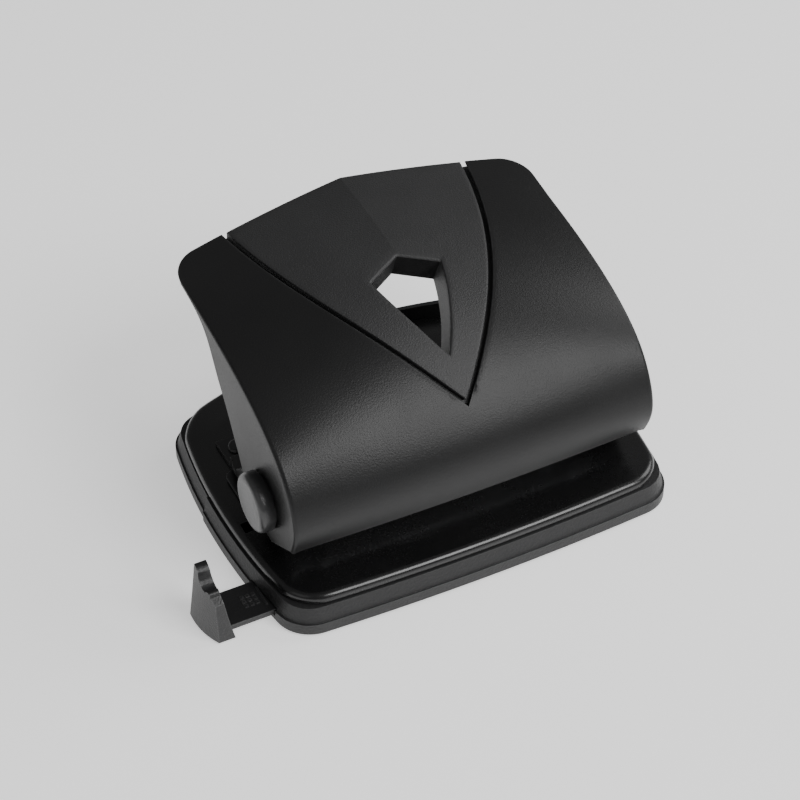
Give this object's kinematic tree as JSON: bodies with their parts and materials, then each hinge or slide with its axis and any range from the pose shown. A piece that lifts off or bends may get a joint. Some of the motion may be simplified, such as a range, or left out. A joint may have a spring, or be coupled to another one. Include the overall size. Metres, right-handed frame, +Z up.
{
  "type": "two-hole paper punch",
  "caption": "Compact desk punch with a sprung curved handle, two coupled punch pins, a sliding paper guide and a hinged chip tray.",
  "frame": {"origin": "on the resting surface, under the middle of the base", "axes": "+X to the right along the row of holes, +Y to the rear away from the user, +Z up"},
  "size_m": [0.146, 0.1022, 0.0754],
  "materials": {
    "plate_gloss": "glossy black enamel on pressed steel",
    "cover_satin": "satin black powder paint on sheet steel",
    "jaw_paint": "semi-gloss black paint on folded steel",
    "insert_plastic": "grained dark grey ABS",
    "rim_plastic": "finely textured black polypropylene",
    "guide_plastic": "matte black ABS",
    "cap_plastic": "satin dark grey ABS",
    "rubber": "black non-slip rubber",
    "zinc_steel": "zinc plated steel",
    "tool_steel": "ground and hardened steel",
    "spring_steel": "drawn spring wire"
  },
  "bodies": {
    "base": {"base_plate": "plate_gloss", "bottom_frame": "rim_plastic", "non_slip_mat": "rubber", "die_plate": "jaw_paint", "punch_frame": "jaw_paint", "frame_rivets": "jaw_paint", "pin_bush_left": "tool_steel", "pin_bush_right": "tool_steel", "plate_lugs": "zinc_steel", "frame_screws": "zinc_steel", "tray_hinge_pins": "zinc_steel", "guide_detent_spring": "spring_steel", "return_spring_left": "spring_steel", "return_spring_right": "spring_steel"},
    "tray": {"chip_tray": "rim_plastic", "tray_feet": "rubber"},
    "handle": {"handle_cover": "cover_satin", "cover_insert": "insert_plastic", "insert_clips": "zinc_steel", "pressure_arm_left": "zinc_steel", "pressure_arm_right": "zinc_steel", "pivot_shaft": "zinc_steel", "shaft_clips": "zinc_steel", "pivot_cap_left": "cap_plastic", "pivot_cap_right": "cap_plastic"},
    "punch_left": {"punch_pin_left": "tool_steel", "pin_clip_left": "zinc_steel"},
    "punch_right": {"punch_pin_right": "tool_steel", "pin_clip_right": "zinc_steel"},
    "guide": {"paper_guide": "guide_plastic"}
  },
  "joints": [
    {"name": "handle_hinge", "type": "hinge", "parent": "base", "child": "handle", "pos_m": [0, -0.017, 0.0297], "axis": [-1, 0, 0], "range_deg": [0, 19.7], "stiffness_Nm_per_rad": 1.3, "springref_deg": -8.59},
    {"name": "punch_left_slide", "type": "slide", "parent": "base", "child": "punch_left", "axis": [0, 0, -1], "range_m": [0, 0.0062], "deforming": ["return_spring_left"]},
    {"name": "punch_right_slide", "type": "slide", "parent": "base", "child": "punch_right", "axis": [0, 0, -1], "range_m": [0, 0.0062], "deforming": ["return_spring_right"]},
    {"name": "guide_slide", "type": "slide", "parent": "base", "child": "guide", "axis": [-1, 0, 0], "range_m": [-0.008, 0.075]},
    {"name": "tray_hinge", "type": "hinge", "parent": "base", "child": "tray", "pos_m": [0, -0.0074, 0.0024], "axis": [-1, 0, 0], "range_deg": [0, 60]}
  ],
  "couplings": [
    {"joint": "punch_left_slide", "follows": "handle_hinge", "m_per_rad": 0.018},
    {"joint": "punch_right_slide", "follows": "handle_hinge", "m_per_rad": 0.018}
  ]
}
